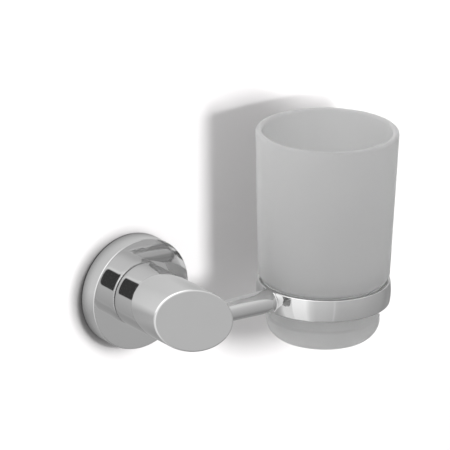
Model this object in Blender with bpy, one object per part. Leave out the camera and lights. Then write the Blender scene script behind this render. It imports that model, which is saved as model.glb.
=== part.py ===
"""Wall-mounted tumbler holder: a round rosette over a screwed wall plate, a post with a slanted
front, a tapered side arm, a plain band ring with a plastic liner, and a frosted glass tumbler.

Metres, +Z up. The wall is the plane y = 0 and the holder stands in front of it, towards -Y.
The origin is the middle of the wall plate's back face, on the wall.
"""

import math

import bmesh
import bpy
from mathutils import Vector

# Fits shared by all pieces
GAP = 0.0003  # clearance between pieces that touch
OVERRUN = 0.001  # how far a cutter runs past what it cuts
WELD = 0.000001

# Tumbler: the glass sets the size of everything that holds it
TUMBLER_MOUTH_DIAMETER = 0.0654
TUMBLER_SHOULDER_DIAMETER = 0.0606
TUMBLER_SHOULDER_WIDTH = 0.0049  # from the neck out to the body
TUMBLER_SHOULDER_ROUND = 0.0036
TUMBLER_NECK_CORNER = 0.0008
TUMBLER_BASE_SWELL = 0.0008  # how far the base stands out from the neck
TUMBLER_BASE_ROUND = 0.0092
TUMBLER_BASE_LENGTH = 0.0285  # from the shoulder's seat down to the foot
TUMBLER_HEIGHT = 0.1000
TUMBLER_WALL = 0.0030
TUMBLER_FLOOR = 0.0060
TUMBLER_FOOT_WIDTH = 0.0040
TUMBLER_FOOT_RECESS = 0.0008
NECK_LENGTH_SHARE = 0.54  # of the base's length: where the neck starts to swell
SWELL_END_SHARE = 0.66  # of the base's length: where the swell ends
INNER_STEP_SHARE = 2.2  # height of the step inside, in shoulder rounds

# Liner, the loose plastic ring that the glass sits on
LINER_PLAY = 0.0007  # between the glass's base and the liner
LINER_WALL = 0.0016  # its top is level with the ring's top
LINER_CHAMFER = 0.0004

# Ring, a plain band with a ledge inside its lower edge
RING_WALL = 0.0022
RING_HEIGHT = 0.0105
RING_EDGE = 0.0005
RING_LEDGE_WIDTH = 0.0012
RING_LEDGE_HEIGHT = 0.0015

# Arm, a cone that widens from the post to the ring and flares where it meets the ring
ARM_REACH = 0.0497  # from the wall to the arm's axis and the ring's centre
ARM_LENGTH = 0.02805  # from the post's side to the ring's side
ARM_ROOT_DIAMETER = 0.0083
ARM_END_DIAMETER = 0.0101
ARM_FILLET_RADIUS = 0.0010
ARM_FILLET_LIP = 0.0001  # how thick the flare's edge is
ARM_FLAT_MARGIN = 0.0001  # how much lower the flare's top and bottom are than the ring's edges
ARM_SOCKET_DEPTH = 0.0015  # how deep its root sits in the post
SPIGOT_DIAMETER = 0.0060
SPIGOT_FLAT_DEPTH = 0.0005
SPIGOT_CHAMFER = 0.0005

# Post, a round bar whose front is cut on a slant
POST_DIAMETER = 0.0303
POST_FACE_LEAD = 0.00145  # how far the slanted face's centre lies in front of the arm's axis
POST_FACE_SLOPE_SHARE = 0.64  # how far the face goes out for each step to the right
POST_FACE_ROUND = 0.0010
POST_BACK_CHAMFER = 0.0003
POST_BORE_WALL = 0.0015  # metal left between the arm's bore and the slanted face

# Rosette, the cover that the post is bolted to
ROSETTE_DIAMETER = 0.0530
ROSETTE_DEPTH = 0.0099
ROSETTE_FRONT_WALL = 0.0022
ROSETTE_SKIRT_WALL = 0.0042
ROSETTE_EDGE_ROUND = 0.0007
ROSETTE_BACK_CHAMFER = 0.0003
ROSETTE_WALL_GAP = 0.0004  # its skirt stops short of the wall

# Wall plate, the cup that stays on the wall
PLATE_FLOOR = 0.0020
PLATE_RIM_WALL = 0.0020
PLATE_RIM_CLEARANCE = 0.0020  # from its rim to the rosette's front wall
PLATE_CHAMFER = 0.0004
PLATE_GROOVE_DEPTH = 0.0009
PLATE_SLOT_LENGTH = 0.0080

# Bolt, lock washer and pins between rosette and post
BOLT_DIAMETER = 0.0060
BOLT_HEAD_DIAMETER = 0.0100
BOLT_HEAD_CLEARANCE = 0.0008  # from the bolt's head to the plate's floor
BOLT_THREAD_LENGTH = 0.0120  # in the post
BOLT_SOCKET_WIDTH = 0.0040
BOLT_CHAMFER = 0.0005
WASHER_THICKNESS = 0.0016
WASHER_WIDTH = 0.0026
WASHER_SPLIT = 0.0010
PIN_DIAMETER = 0.0030
PIN_DEPTH_IN_POST = 0.0050
PIN_CHAMFER = 0.0003

# Grub screws
GRUB_DIAMETER = 0.0040
GRUB_SOCKET_WIDTH = 0.0020
GRUB_SOCKET_DEPTH = 0.0018
ROSETTE_GRUB_LENGTH = 0.0040
ARM_GRUB_LENGTH = 0.0050
GRUB_TIP_ROOM = 0.00045  # between the pointed tip and the bottom of the plate's groove

# Wall screws and plugs
SCREW_DIAMETER = 0.0045
SCREW_LENGTH = 0.0400
SCREW_TIP_LENGTH = 0.0060
SCREW_HEAD_DIAMETER = 0.0084
SCREW_HEAD_HEIGHT = 0.0028
SCREW_RECESS_WIDTH = 0.0042
SCREW_RECESS_SLOT = 0.0010
SCREW_RECESS_DEPTH = 0.0016
PLUG_DIAMETER = 0.0080
PLUG_LENGTH = 0.0360
PLUG_RIB_DEPTH = 0.0004
PLUG_SPLIT_WIDTH = 0.0010
PLUG_SPLIT_SHARE = 0.62  # of the plug's length
PLUG_RIBS = 6

# Facets
LARGE_STEPS = 64
MEDIUM_STEPS = 48
SMALL_STEPS = 24
HEX_SIDES = 6
ARC_STEPS = 4
BASE_ARC_STEPS = 6
EDGE_STEPS = 2
SMOOTH_ANGLE = math.radians(35)
QUARTER = math.pi / 2
HALF = math.pi

# Worked out from the sizes above
shoulder_radius = TUMBLER_SHOULDER_DIAMETER / 2
neck_radius = shoulder_radius - TUMBLER_SHOULDER_WIDTH
base_radius = neck_radius + TUMBLER_BASE_SWELL
liner_bore = base_radius + LINER_PLAY
liner_radius = liner_bore + LINER_WALL
ring_bore = liner_radius + GAP
ring_radius = ring_bore + RING_WALL
ring_top = RING_HEIGHT / 2
liner_top = ring_top
liner_bottom = -ring_top + RING_LEDGE_HEIGHT + GAP
seat_height = liner_top + GAP
foot_height = seat_height - TUMBLER_BASE_LENGTH
mouth_height = foot_height + TUMBLER_HEIGHT

post_radius = POST_DIAMETER / 2
post_reach = ARM_REACH + POST_FACE_LEAD
ring_x = post_radius + ARM_LENGTH + ring_radius
arm_root_radius = ARM_ROOT_DIAMETER / 2
arm_end_radius = ARM_END_DIAMETER / 2
socket_floor_x = post_radius - ARM_SOCKET_DEPTH
spigot_radius = SPIGOT_DIAMETER / 2
spigot_bore = spigot_radius + GAP
spigot_bore_end_x = (POST_BORE_WALL + spigot_bore - POST_FACE_LEAD) / POST_FACE_SLOPE_SHARE
spigot_end_x = spigot_bore_end_x + GAP

rosette_radius = ROSETTE_DIAMETER / 2
rosette_bore = rosette_radius - ROSETTE_SKIRT_WALL
rosette_cavity = ROSETTE_DEPTH - ROSETTE_FRONT_WALL
post_back = ROSETTE_DEPTH + GAP

plate_radius = rosette_bore - GAP
plate_inner_radius = plate_radius - PLATE_RIM_WALL
plate_rim_height = rosette_cavity - PLATE_RIM_CLEARANCE
groove_height = (PLATE_FLOOR + plate_rim_height) / 2

bolt_radius = BOLT_DIAMETER / 2
bolt_head_radius = BOLT_HEAD_DIAMETER / 2
washer_front = rosette_cavity - GAP
washer_back = washer_front - WASHER_THICKNESS
bolt_head_front = washer_back - GAP
bolt_head_back = PLATE_FLOOR + BOLT_HEAD_CLEARANCE
bolt_end = post_back + BOLT_THREAD_LENGTH
pin_radius = PIN_DIAMETER / 2
pin_offset = (bolt_radius + post_radius) / 2

grub_radius = GRUB_DIAMETER / 2
rosette_grub_tip = plate_radius - PLATE_GROOVE_DEPTH + GRUB_TIP_ROOM
arm_grub_tip = spigot_radius - SPIGOT_FLAT_DEPTH + GAP
arm_grub_x = (spigot_end_x + socket_floor_x) / 2

screw_radius = SCREW_DIAMETER / 2
screw_offset = (bolt_head_radius + plate_inner_radius) / 2
screw_seat = PLATE_FLOOR + GAP
plug_radius = PLUG_DIAMETER / 2
plug_bore = screw_radius + GAP


def clear_scene():
    """Remove whatever the file opened with."""
    for old in list(bpy.data.objects):
        bpy.data.objects.remove(old, do_unlink=True)


def make_material(name, colour, roughness, metallic, alpha=1.0):
    """A Principled BSDF with constant values."""
    material = bpy.data.materials.new(name)
    material.use_nodes = True
    shader = material.node_tree.nodes["Principled BSDF"]
    shader.inputs["Base Color"].default_value = (*colour, 1.0)
    shader.inputs["Roughness"].default_value = roughness
    shader.inputs["Metallic"].default_value = metallic
    shader.inputs["Alpha"].default_value = alpha
    material.diffuse_color = (*colour, alpha)
    return material


def make_empty(name, location, rotation):
    """A frame that pieces are parented to."""
    empty = bpy.data.objects.new(name, None)
    empty.location = location
    empty.rotation_euler = rotation
    bpy.context.scene.collection.objects.link(empty)
    return empty


def make_object(name, shape, parent, material=None, location=(0, 0, 0), rotation=(0, 0, 0)):
    """Turn a bmesh into a named object, smooth where its faces meet at a low angle."""
    bmesh.ops.recalc_face_normals(shape, faces=shape.faces)
    mesh = bpy.data.meshes.new(name)
    shape.to_mesh(mesh)
    shape.free()
    mesh.shade_smooth()
    mesh.set_sharp_from_angle(angle=SMOOTH_ANGLE)
    if material:
        mesh.materials.append(material)
    made = bpy.data.objects.new(name, mesh)
    made.location = location
    made.rotation_euler = rotation
    made.parent = parent
    bpy.context.scene.collection.objects.link(made)
    return made


def cut(target, name, shape, parent, location=(0, 0, 0), rotation=(0, 0, 0)):
    """Take a shape out of the target with a Boolean whose cutter stays hidden."""
    cutter = make_object(name, shape, parent, None, location, rotation)
    cutter.hide_render = True
    cutter.display_type = "WIRE"
    boolean = target.modifiers.new(name, "BOOLEAN")
    boolean.operation = "DIFFERENCE"
    boolean.solver = "EXACT"
    boolean.object = cutter


def arc(centre, radius, start, end, steps):
    """Points of an arc, angles from the radial direction, both ends included."""
    angles = [start + (end - start) * step / steps for step in range(steps + 1)]
    return [
        (centre[0] + radius * math.cos(angle), centre[1] + radius * math.sin(angle))
        for angle in angles
    ]


def ramp(start, end, steps):
    """Points of a smooth S between two outline points, both ends included."""
    points = []
    for step in range(steps + 1):
        along = step / steps
        blend = (1 - math.cos(HALF * along)) / 2
        radius = start[0] + (end[0] - start[0]) * blend
        points.append((radius, start[1] + (end[1] - start[1]) * along))
    return points


def turned(outline, steps):
    """Turn an outline of (radius, height) points once round local Z."""
    shape = bmesh.new()
    verts = [shape.verts.new((radius, 0, height)) for radius, height in outline]
    edges = [shape.edges.new(pair) for pair in zip(verts, verts[1:])]
    if outline[0][0] > 0:
        edges.append(shape.edges.new((verts[-1], verts[0])))
    bmesh.ops.spin(
        shape,
        geom=verts + edges,
        cent=(0, 0, 0),
        axis=(0, 0, 1),
        angle=2 * math.pi,
        steps=steps,
        use_merge=True,
    )
    bmesh.ops.remove_doubles(shape, verts=shape.verts, dist=WELD)
    return shape


def rod(radius, bottom, top, steps):
    """A plain cylinder along local Z."""
    return turned([(0, bottom), (radius, bottom), (radius, top), (0, top)], steps)


def extruded(corners, bottom, top, end_scale=1.0):
    """Raise a flat outline from bottom to top, its top outline scaled about the axis."""
    shape = bmesh.new()
    lower = [shape.verts.new((x, y, bottom)) for x, y in corners]
    upper = [shape.verts.new((x * end_scale, y * end_scale, top)) for x, y in corners]
    shape.faces.new(lower)
    shape.faces.new(upper)
    count = len(corners)
    for index in range(count):
        following = (index + 1) % count
        shape.faces.new((lower[index], lower[following], upper[following], upper[index]))
    return shape


def box(width, depth, bottom, top):
    """A block centred on local Z."""
    x = width / 2
    y = depth / 2
    return extruded([(-x, -y), (x, -y), (x, y), (-x, y)], bottom, top)


def hexagon(width_across_flats, bottom, top):
    """A hexagonal prism, as a key socket."""
    corner = width_across_flats / math.sqrt(3)
    turns = [2 * math.pi * side / HEX_SIDES for side in range(HEX_SIDES)]
    corners = [(corner * math.cos(turn), corner * math.sin(turn)) for turn in turns]
    return extruded(corners, bottom, top)


def cross(width, slot, bottom, top, end_scale):
    """A four-winged driver recess that narrows towards its end."""
    x = width / 2
    y = slot / 2
    quarter = [(x, -y), (x, y), (y, y)]
    corners = []
    for turn in range(4):
        for px, py in quarter:
            for _ in range(turn):
                px, py = -py, px
            corners.append((px, py))
    return extruded(corners, bottom, top, end_scale)


def slot(length, width, bottom, top):
    """A slot with round ends, long along local X."""
    radius = width / 2
    middle = (length - width) / 2
    right = arc((middle, 0), radius, -QUARTER, QUARTER, 2 * ARC_STEPS)
    left = arc((-middle, 0), radius, QUARTER, QUARTER + HALF, 2 * ARC_STEPS)
    return extruded(right + left, bottom, top)


def make_wall_plate(parent, material):
    """A cup with a solid floor, two slots for the wall screws and a groove for the grub screw."""
    outline = [
        (0, 0),
        (plate_radius - PLATE_CHAMFER, 0),
        (plate_radius, PLATE_CHAMFER),
        (plate_radius, groove_height - PLATE_GROOVE_DEPTH),
        (plate_radius - PLATE_GROOVE_DEPTH, groove_height),
        (plate_radius, groove_height + PLATE_GROOVE_DEPTH),
        (plate_radius, plate_rim_height - PLATE_CHAMFER),
        (plate_radius - PLATE_CHAMFER, plate_rim_height),
        (plate_inner_radius + PLATE_CHAMFER, plate_rim_height),
        (plate_inner_radius, plate_rim_height - PLATE_CHAMFER),
        (plate_inner_radius, PLATE_FLOOR),
        (0, PLATE_FLOOR),
    ]
    plate = make_object("wall_plate", turned(outline, MEDIUM_STEPS), parent, material)
    width = 2 * (screw_radius + GAP)
    for side, x, turn in (("left", -screw_offset, 0), ("right", screw_offset, QUARTER)):
        shape = slot(PLATE_SLOT_LENGTH, width, -OVERRUN, PLATE_FLOOR + OVERRUN)
        cut(plate, f"cut_plate_slot_{side}", shape, parent, (x, 0, 0), (0, 0, turn))


def make_wall_screw(side, x, parent, material):
    """A pan-head screw for the wall plug, with a cross recess."""
    head_radius = SCREW_HEAD_DIAMETER / 2
    under = [(0, -SCREW_LENGTH), (screw_radius, -SCREW_LENGTH + SCREW_TIP_LENGTH), (screw_radius, 0)]
    dome = arc(
        (head_radius - SCREW_HEAD_HEIGHT, 0), SCREW_HEAD_HEIGHT, 0, QUARTER, ARC_STEPS
    )
    outline = under + dome + [(0, SCREW_HEAD_HEIGHT)]
    place = (x, 0, screw_seat)
    screw = make_object(
        f"wall_screw_{side}", turned(outline, SMALL_STEPS), parent, material, place
    )
    recess = cross(
        SCREW_RECESS_WIDTH,
        SCREW_RECESS_SLOT,
        SCREW_HEAD_HEIGHT + OVERRUN,
        SCREW_HEAD_HEIGHT - SCREW_RECESS_DEPTH,
        SCREW_RECESS_SLOT / SCREW_RECESS_WIDTH,
    )
    cut(screw, f"cut_screw_recess_{side}", recess, parent, place)


def make_wall_plug(side, x, parent, material):
    """A ribbed nylon plug in the wall, split from its far end so that it can spread."""
    pitch = PLUG_LENGTH / (PLUG_RIBS + 1)
    outline = [(plug_bore, -GAP), (plug_radius, -GAP)]
    for rib in range(PLUG_RIBS):
        start = -GAP - pitch * (rib + 1)
        outline.append((plug_radius, start))
        outline.append((plug_radius - PLUG_RIB_DEPTH, start))
    end = -GAP - PLUG_LENGTH
    outline.append((plug_radius - 2 * PLUG_RIB_DEPTH, end))
    outline.append((plug_bore, end))
    plug = make_object(
        f"wall_plug_{side}", turned(outline, SMALL_STEPS), parent, material, (x, 0, 0)
    )
    split = box(
        PLUG_SPLIT_WIDTH,
        PLUG_DIAMETER + OVERRUN,
        end - OVERRUN,
        end + PLUG_LENGTH * PLUG_SPLIT_SHARE,
    )
    cut(plug, f"cut_plug_split_{side}", split, parent, (x, 0, 0))


def make_rosette(parent, material):
    """The round cover: a thick front wall and skirt, open at the back over the wall plate."""
    front_edge = arc(
        (rosette_radius - ROSETTE_EDGE_ROUND, ROSETTE_DEPTH - ROSETTE_EDGE_ROUND),
        ROSETTE_EDGE_ROUND,
        QUARTER,
        0,
        EDGE_STEPS,
    )
    outline = [(0, ROSETTE_DEPTH)]
    outline += front_edge
    outline += [
        (rosette_radius, ROSETTE_WALL_GAP + ROSETTE_BACK_CHAMFER),
        (rosette_radius - ROSETTE_BACK_CHAMFER, ROSETTE_WALL_GAP),
        (rosette_bore + ROSETTE_BACK_CHAMFER, ROSETTE_WALL_GAP),
        (rosette_bore, ROSETTE_WALL_GAP + ROSETTE_BACK_CHAMFER),
        (rosette_bore, rosette_cavity),
        (0, rosette_cavity),
    ]
    rosette = make_object("rosette", turned(outline, LARGE_STEPS), parent, material)
    low = rosette_cavity - OVERRUN
    high = ROSETTE_DEPTH + OVERRUN
    bolt_hole = rod(bolt_radius + GAP, low, high, SMALL_STEPS)
    cut(rosette, "cut_rosette_bolt_hole", bolt_hole, parent)
    for side, y in (("upper", pin_offset), ("lower", -pin_offset)):
        pin_hole = rod(pin_radius + GAP, low, high, SMALL_STEPS)
        cut(rosette, f"cut_rosette_pin_hole_{side}", pin_hole, parent, (0, y, 0))
    grub_hole = rod(
        grub_radius + GAP, rosette_bore - OVERRUN, rosette_radius + OVERRUN, SMALL_STEPS
    )
    cut(
        rosette,
        "cut_rosette_grub_hole",
        grub_hole,
        parent,
        (0, 0, groove_height),
        (QUARTER, 0, 0),
    )


def make_grub_screw(name, place, tip, length, pointed, parent, material):
    """A headless set screw pointing up, with a key socket in its lower end."""
    blunt = 0 if pointed else grub_radius / 2
    outline = [(0, tip)]
    if blunt:
        outline.append((blunt, tip))
    end = tip + length
    outline += [
        (grub_radius, tip + grub_radius - blunt),
        (grub_radius, end),
        (0, end),
    ]
    turn = (QUARTER, 0, 0)
    screw = make_object(name, turned(outline, SMALL_STEPS), parent, material, place, turn)
    socket = hexagon(GRUB_SOCKET_WIDTH, end - GRUB_SOCKET_DEPTH, end + OVERRUN)
    cut(screw, f"cut_{name}_socket", socket, parent, place, turn)


def make_post_bolt(parent, material):
    """The low-head socket bolt that draws the post against the rosette from inside."""
    outline = [
        (0, bolt_head_back),
        (bolt_head_radius - BOLT_CHAMFER, bolt_head_back),
        (bolt_head_radius, bolt_head_back + BOLT_CHAMFER),
        (bolt_head_radius, bolt_head_front),
        (bolt_radius, bolt_head_front),
        (bolt_radius, bolt_end - BOLT_CHAMFER),
        (bolt_radius - BOLT_CHAMFER, bolt_end),
        (0, bolt_end),
    ]
    bolt = make_object("post_bolt", turned(outline, SMALL_STEPS), parent, material)
    middle = (bolt_head_back + bolt_head_front) / 2
    socket = hexagon(BOLT_SOCKET_WIDTH, bolt_head_back - OVERRUN, middle)
    cut(bolt, "cut_post_bolt_socket", socket, parent)


def make_lock_washer(parent, material):
    """A split washer under the bolt's head."""
    bore = bolt_radius + GAP
    outline = [
        (bore, washer_back),
        (bore + WASHER_WIDTH, washer_back),
        (bore + WASHER_WIDTH, washer_front),
        (bore, washer_front),
    ]
    washer = make_object("lock_washer", turned(outline, SMALL_STEPS), parent, material)
    reach = bore + WASHER_WIDTH + OVERRUN
    split = box(WASHER_SPLIT, reach, washer_back - OVERRUN, washer_front + OVERRUN)
    cut(washer, "cut_washer_split", split, parent, (0, reach / 2, 0))


def make_locating_pin(side, y, parent, material):
    """A dowel through the rosette's front wall into the post, so that the post can't turn."""
    end = post_back + PIN_DEPTH_IN_POST
    outline = [
        (0, rosette_cavity),
        (pin_radius - PIN_CHAMFER, rosette_cavity),
        (pin_radius, rosette_cavity + PIN_CHAMFER),
        (pin_radius, end - PIN_CHAMFER),
        (pin_radius - PIN_CHAMFER, end),
        (0, end),
    ]
    shape = turned(outline, SMALL_STEPS)
    make_object(f"locating_pin_{side}", shape, parent, material, (0, y, 0))


def make_post(parent, material):
    """The round bar: its front cut on a slant and rounded, bored for bolt, pins, arm and grub."""
    top = post_reach + POST_FACE_SLOPE_SHARE * post_radius + OVERRUN
    outline = [
        (0, post_back),
        (post_radius - POST_BACK_CHAMFER, post_back),
        (post_radius, post_back + POST_BACK_CHAMFER),
        (post_radius, top),
        (0, top),
    ]
    shape = turned(outline, LARGE_STEPS)
    sliced = bmesh.ops.bisect_plane(
        shape,
        geom=shape.verts[:] + shape.edges[:] + shape.faces[:],
        plane_co=(0, 0, post_reach),
        plane_no=Vector((-POST_FACE_SLOPE_SHARE, 0, 1)).normalized(),
        clear_outer=True,
    )
    rim = [item for item in sliced["geom_cut"] if isinstance(item, bmesh.types.BMEdge)]
    bmesh.ops.contextual_create(shape, geom=rim)
    bmesh.ops.bevel(
        shape,
        geom=rim,
        offset=POST_FACE_ROUND,
        offset_type="OFFSET",
        segments=EDGE_STEPS,
        profile=0.5,
        affect="EDGES",
    )
    post = make_object("post", shape, parent, material)
    bolt_hole = rod(
        bolt_radius + GAP, post_back - OVERRUN, bolt_end + GAP, SMALL_STEPS
    )
    cut(post, "cut_post_bolt_hole", bolt_hole, parent)
    pin_end = post_back + PIN_DEPTH_IN_POST + GAP
    for side, y in (("upper", pin_offset), ("lower", -pin_offset)):
        pin_hole = rod(pin_radius + GAP, post_back - OVERRUN, pin_end, SMALL_STEPS)
        cut(post, f"cut_post_pin_hole_{side}", pin_hole, parent, (0, y, 0))
    outside = post_radius + OVERRUN
    socket = turned(
        [
            (0, spigot_bore_end_x),
            (spigot_bore, spigot_bore_end_x),
            (spigot_bore, socket_floor_x),
            (arm_root_radius + GAP, socket_floor_x),
            (arm_root_radius + GAP, outside),
            (0, outside),
        ],
        SMALL_STEPS,
    )
    cut(post, "cut_post_arm_socket", socket, parent, (0, 0, ARM_REACH), (0, QUARTER, 0))
    grub_hole = rod(grub_radius + GAP, 0, outside, SMALL_STEPS)
    place = (arm_grub_x, 0, ARM_REACH)
    cut(post, "cut_post_grub_hole", grub_hole, parent, place, (QUARTER, 0, 0))


def make_arm(parent, ring_parent, material):
    """The tapered arm: a spigot for the post at one end, a flare and a saddle at the other.

    The flare is a concave arc that touches both the cone and the ring's side, as seen from above.
    """
    root_x = socket_floor_x + GAP
    end_x = ring_x - ring_bore
    saddle_radius = ring_radius + GAP
    flare = (arm_end_radius + ARM_FILLET_RADIUS, saddle_radius + ARM_FILLET_RADIUS)
    flare_x = ring_x - math.sqrt(flare[1] ** 2 - flare[0] ** 2)
    lean = math.asin(flare[0] / flare[1]) + math.acos(1 - ARM_FILLET_LIP / ARM_FILLET_RADIUS)
    outline = [
        (0, spigot_end_x),
        (spigot_radius - SPIGOT_CHAMFER, spigot_end_x),
        (spigot_radius, spigot_end_x + SPIGOT_CHAMFER),
        (spigot_radius, root_x),
        (arm_root_radius, root_x),
    ]
    outline += arc((flare[0], flare_x), ARM_FILLET_RADIUS, HALF, QUARTER + lean, ARC_STEPS)
    outline += [(outline[-1][0], end_x), (0, end_x)]
    arm = make_object("arm", turned(outline, MEDIUM_STEPS), parent, material)
    saddle = rod(saddle_radius, -RING_HEIGHT, RING_HEIGHT, LARGE_STEPS)
    cut(arm, "cut_arm_saddle", saddle, ring_parent)
    wide = 2 * flare[0]
    rest = ring_top - ARM_FLAT_MARGIN + wide / 2
    for side, x in (("top", -rest), ("bottom", rest)):
        block = box(wide, wide, root_x + OVERRUN, end_x + OVERRUN)
        cut(arm, f"cut_arm_{side}", block, parent, (x, 0, 0))
    flat = box(SPIGOT_DIAMETER, SPIGOT_DIAMETER, spigot_end_x - OVERRUN, root_x - GAP)
    middle = spigot_radius - SPIGOT_FLAT_DEPTH + SPIGOT_DIAMETER / 2
    cut(arm, "cut_arm_spigot_flat", flat, parent, (middle, 0, 0))


def make_ring(parent, material):
    """The band, its outer edges rounded, with the ledge that the liner rests on."""
    middle = ring_radius - RING_EDGE
    top_edge = arc((middle, ring_top - RING_EDGE), RING_EDGE, QUARTER, 0, EDGE_STEPS)
    low_edge = arc((middle, RING_EDGE - ring_top), RING_EDGE, 0, -QUARTER, EDGE_STEPS)
    ledge_top = RING_LEDGE_HEIGHT - ring_top
    ledge_radius = ring_bore - RING_LEDGE_WIDTH
    inside = [
        (ledge_radius, -ring_top),
        (ledge_radius, ledge_top),
        (ring_bore, ledge_top),
        (ring_bore, ring_top - RING_EDGE),
        (ring_bore + RING_EDGE, ring_top),
    ]
    shape = turned(top_edge + low_edge + inside, LARGE_STEPS)
    make_object("ring", shape, parent, material)


def make_liner(parent, material):
    """The loose plastic ring between the metal and the glass, with its bore eased at both ends."""
    outline = [
        (liner_bore + LINER_CHAMFER, liner_top),
        (liner_radius, liner_top),
        (liner_radius, liner_bottom),
        (liner_bore + LINER_CHAMFER, liner_bottom),
        (liner_bore, liner_bottom + LINER_CHAMFER),
        (liner_bore, liner_top - LINER_CHAMFER),
    ]
    make_object("ring_liner", turned(outline, LARGE_STEPS), parent, material)


def make_tumbler(parent, material):
    """The glass: a round lip, a tapered body, a shoulder over the ring and a swelling base."""
    mouth_radius = TUMBLER_MOUTH_DIAMETER / 2
    lip = TUMBLER_WALL / 2
    foot_radius = base_radius - TUMBLER_BASE_ROUND
    inner_floor = foot_height + TUMBLER_FLOOR
    inner_round = TUMBLER_BASE_ROUND - TUMBLER_WALL
    inner_neck = neck_radius - TUMBLER_WALL
    outline = arc((mouth_radius - lip, mouth_height - lip), lip, HALF, 0, ARC_STEPS)
    outline += arc(
        (shoulder_radius - TUMBLER_SHOULDER_ROUND, seat_height + TUMBLER_SHOULDER_ROUND),
        TUMBLER_SHOULDER_ROUND,
        0,
        -QUARTER,
        ARC_STEPS,
    )
    outline += arc(
        (neck_radius + TUMBLER_NECK_CORNER, seat_height - TUMBLER_NECK_CORNER),
        TUMBLER_NECK_CORNER,
        QUARTER,
        HALF,
        EDGE_STEPS,
    )
    outline += ramp(
        (neck_radius, seat_height - TUMBLER_BASE_LENGTH * NECK_LENGTH_SHARE),
        (base_radius, seat_height - TUMBLER_BASE_LENGTH * SWELL_END_SHARE),
        ARC_STEPS,
    )
    outline += arc(
        (foot_radius, foot_height + TUMBLER_BASE_ROUND),
        TUMBLER_BASE_ROUND,
        0,
        -QUARTER,
        BASE_ARC_STEPS,
    )
    outline += [
        (foot_radius - TUMBLER_FOOT_WIDTH, foot_height),
        (foot_radius - TUMBLER_FOOT_WIDTH - TUMBLER_FOOT_RECESS, foot_height + TUMBLER_FOOT_RECESS),
        (0, foot_height + TUMBLER_FOOT_RECESS),
    ]
    inside = [(0, inner_floor)]
    inside += arc(
        (inner_neck - inner_round, inner_floor + inner_round),
        inner_round,
        -QUARTER,
        0,
        ARC_STEPS,
    )
    step_top = seat_height + TUMBLER_SHOULDER_ROUND * INNER_STEP_SHARE
    inside += ramp(
        (inner_neck, seat_height), (shoulder_radius - TUMBLER_WALL, step_top), ARC_STEPS
    )
    profile = inside + outline
    make_object("tumbler", turned(profile, LARGE_STEPS), parent, material)


def main():
    clear_scene()
    chrome = make_material("chrome", (0.62, 0.62, 0.62), 0.04, 1.0)
    cast_zinc = make_material("cast_zinc", (0.46, 0.46, 0.47), 0.45, 1.0)
    steel = make_material("zinc_plated_steel", (0.56, 0.57, 0.58), 0.3, 1.0)
    nylon = make_material("grey_nylon", (0.40, 0.41, 0.42), 0.55, 0.0)
    liner_plastic = make_material("clear_plastic", (0.72, 0.73, 0.73), 0.3, 0.0, 0.6)
    frosted = make_material("frosted_glass", (0.46, 0.46, 0.46), 0.75, 0.0, 0.92)

    wall_frame = make_empty("wall_frame", (0, 0, 0), (QUARTER, 0, 0))
    arm_frame = make_empty("arm_frame", (0, -ARM_REACH, 0), (0, QUARTER, 0))
    tumbler_axis = make_empty("tumbler_axis", (ring_x, -ARM_REACH, 0), (0, 0, 0))

    make_wall_plate(wall_frame, cast_zinc)
    for side, x in (("left", -screw_offset), ("right", screw_offset)):
        make_wall_screw(side, x, wall_frame, steel)
        make_wall_plug(side, x, wall_frame, nylon)
    make_rosette(wall_frame, chrome)
    make_grub_screw(
        "rosette_grub_screw",
        (0, 0, groove_height),
        rosette_grub_tip,
        ROSETTE_GRUB_LENGTH,
        True,
        wall_frame,
        steel,
    )
    make_post_bolt(wall_frame, steel)
    make_lock_washer(wall_frame, steel)
    for side, y in (("upper", pin_offset), ("lower", -pin_offset)):
        make_locating_pin(side, y, wall_frame, steel)
    make_post(wall_frame, chrome)
    make_arm(arm_frame, tumbler_axis, chrome)
    make_grub_screw(
        "arm_grub_screw",
        (arm_grub_x, 0, ARM_REACH),
        arm_grub_tip,
        ARM_GRUB_LENGTH,
        False,
        wall_frame,
        steel,
    )
    make_ring(tumbler_axis, chrome)
    make_liner(tumbler_axis, liner_plastic)
    make_tumbler(tumbler_axis, frosted)


main()
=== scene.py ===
"""Tumbler holder as it is seen: chromed rosette, slant-fronted post, tapered arm and band ring,
with a frosted glass tumbler, on the wall in soft studio light.

Laid out as a Blender add-on and run as a script. Metres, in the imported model's frame: the wall is
the plane y = 0 and the holder stands out towards -Y.
"""

import math

import bmesh
import bpy
from mathutils import Matrix, Vector


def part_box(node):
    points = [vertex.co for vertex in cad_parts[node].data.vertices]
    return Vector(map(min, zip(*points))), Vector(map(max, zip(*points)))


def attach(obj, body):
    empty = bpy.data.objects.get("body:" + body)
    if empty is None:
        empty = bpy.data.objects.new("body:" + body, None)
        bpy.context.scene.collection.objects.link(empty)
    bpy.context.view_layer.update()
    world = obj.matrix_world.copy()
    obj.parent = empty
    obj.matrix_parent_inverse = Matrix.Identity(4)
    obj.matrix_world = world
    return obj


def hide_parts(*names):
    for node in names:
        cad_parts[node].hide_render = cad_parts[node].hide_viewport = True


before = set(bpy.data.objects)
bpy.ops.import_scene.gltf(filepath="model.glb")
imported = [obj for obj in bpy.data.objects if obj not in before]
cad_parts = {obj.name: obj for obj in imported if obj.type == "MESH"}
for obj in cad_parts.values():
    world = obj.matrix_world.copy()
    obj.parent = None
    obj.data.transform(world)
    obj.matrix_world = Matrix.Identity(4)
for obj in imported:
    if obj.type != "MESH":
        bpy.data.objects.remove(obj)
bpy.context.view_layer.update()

bl_info = {
    "name": "Tumbler Holder",
    "version": (1, 0, 0),
    "blender": (4, 5, 0),
    "location": "3D View > Sidebar > Tumbler Holder",
    "description": "Builds a wall-mounted chrome tumbler holder with a frosted glass tumbler",
    "category": "Add Mesh",
}

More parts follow.
